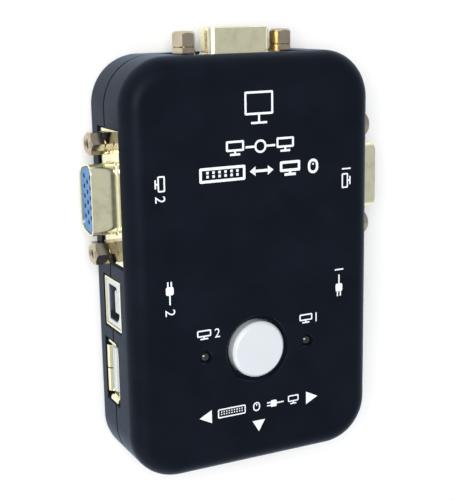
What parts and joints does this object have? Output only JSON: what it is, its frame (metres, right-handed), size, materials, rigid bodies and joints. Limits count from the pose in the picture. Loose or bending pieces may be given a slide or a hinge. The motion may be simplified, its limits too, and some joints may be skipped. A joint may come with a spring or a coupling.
{
  "type": "kvm switch",
  "caption": "Two-computer desktop switch: flat rounded black case, video and USB sockets on its sides and ends, round push button and lamps on its face.",
  "frame": {"origin": "centre of the flat back face, where the case rests", "axes": "+Z out of the front face with the button, +Y towards the console video socket at the far end, +X towards the first computer's sockets"},
  "size_m": [0.075, 0.1041, 0.0243],
  "materials": {
    "case_plastic": "fine satin texture",
    "nickel_shell": "bright nickel plate",
    "nickel_screw": "bright nickel plate",
    "tin_plate": "drawn tin plate",
    "socket_blue": "moulded, satin",
    "socket_white": "moulded, satin",
    "contact_gold": "gold flash",
    "button_silver": "silver-white, glossy",
    "black_plastic": "moulded, satin",
    "lamp_smoke": "clear, unlit",
    "board_green": "solder mask",
    "chip_epoxy": "moulded epoxy",
    "steel": "zinc plate",
    "capacitor_sleeve": "shrink sleeve"
  },
  "bodies": {
    "case": {"top_cover": "case_plastic", "bottom_cover": "case_plastic", "case_screws": "steel", "circuit_board": "board_green", "board_screws": "steel", "video_shell_console": "nickel_shell", "video_insulator_console": "socket_blue", "video_contacts_console": "contact_gold", "video_brackets_console": "tin_plate", "video_jackscrews_console": "nickel_screw", "video_shell_pc1": "nickel_shell", "video_insulator_pc1": "socket_blue", "video_contacts_pc1": "contact_gold", "video_brackets_pc1": "tin_plate", "video_jackscrews_pc1": "nickel_screw", "video_shell_pc2": "nickel_shell", "video_insulator_pc2": "socket_blue", "video_contacts_pc2": "contact_gold", "video_brackets_pc2": "tin_plate", "video_jackscrews_pc2": "nickel_screw", "square_shell_pc1": "tin_plate", "square_insulator_pc1": "socket_white", "square_contacts_pc1": "contact_gold", "square_shell_pc2": "tin_plate", "square_insulator_pc2": "socket_white", "square_contacts_pc2": "contact_gold", "flat_shell_left": "tin_plate", "flat_insulator_left": "socket_white", "flat_contacts_left": "contact_gold", "flat_shell_right": "tin_plate", "flat_insulator_right": "socket_white", "flat_contacts_right": "contact_gold", "flat_shell_end": "tin_plate", "flat_insulator_end": "socket_white", "flat_contacts_end": "contact_gold", "switch_spring": "steel", "switch_housing": "socket_white", "switch_pins": "tin_plate", "lamp_1": "lamp_smoke", "lamp_2": "lamp_smoke", "lamp_leads": "tin_plate", "control_chip": "chip_epoxy", "video_chips": "chip_epoxy", "chip_legs": "tin_plate", "crystal": "steel", "capacitors": "capacitor_sleeve", "resistors": "chip_epoxy"},
    "select_button": {"button_cap": "button_silver", "switch_plunger": "black_plastic"}
  },
  "joints": [
    {"name": "select_press", "type": "slide", "parent": "case", "child": "select_button", "axis": [0, 0, -1], "range_m": [0, 0.0015], "stiffness_N_per_m": 800, "springref_m": -0.001, "deforming": ["switch_spring"]}
  ]
}
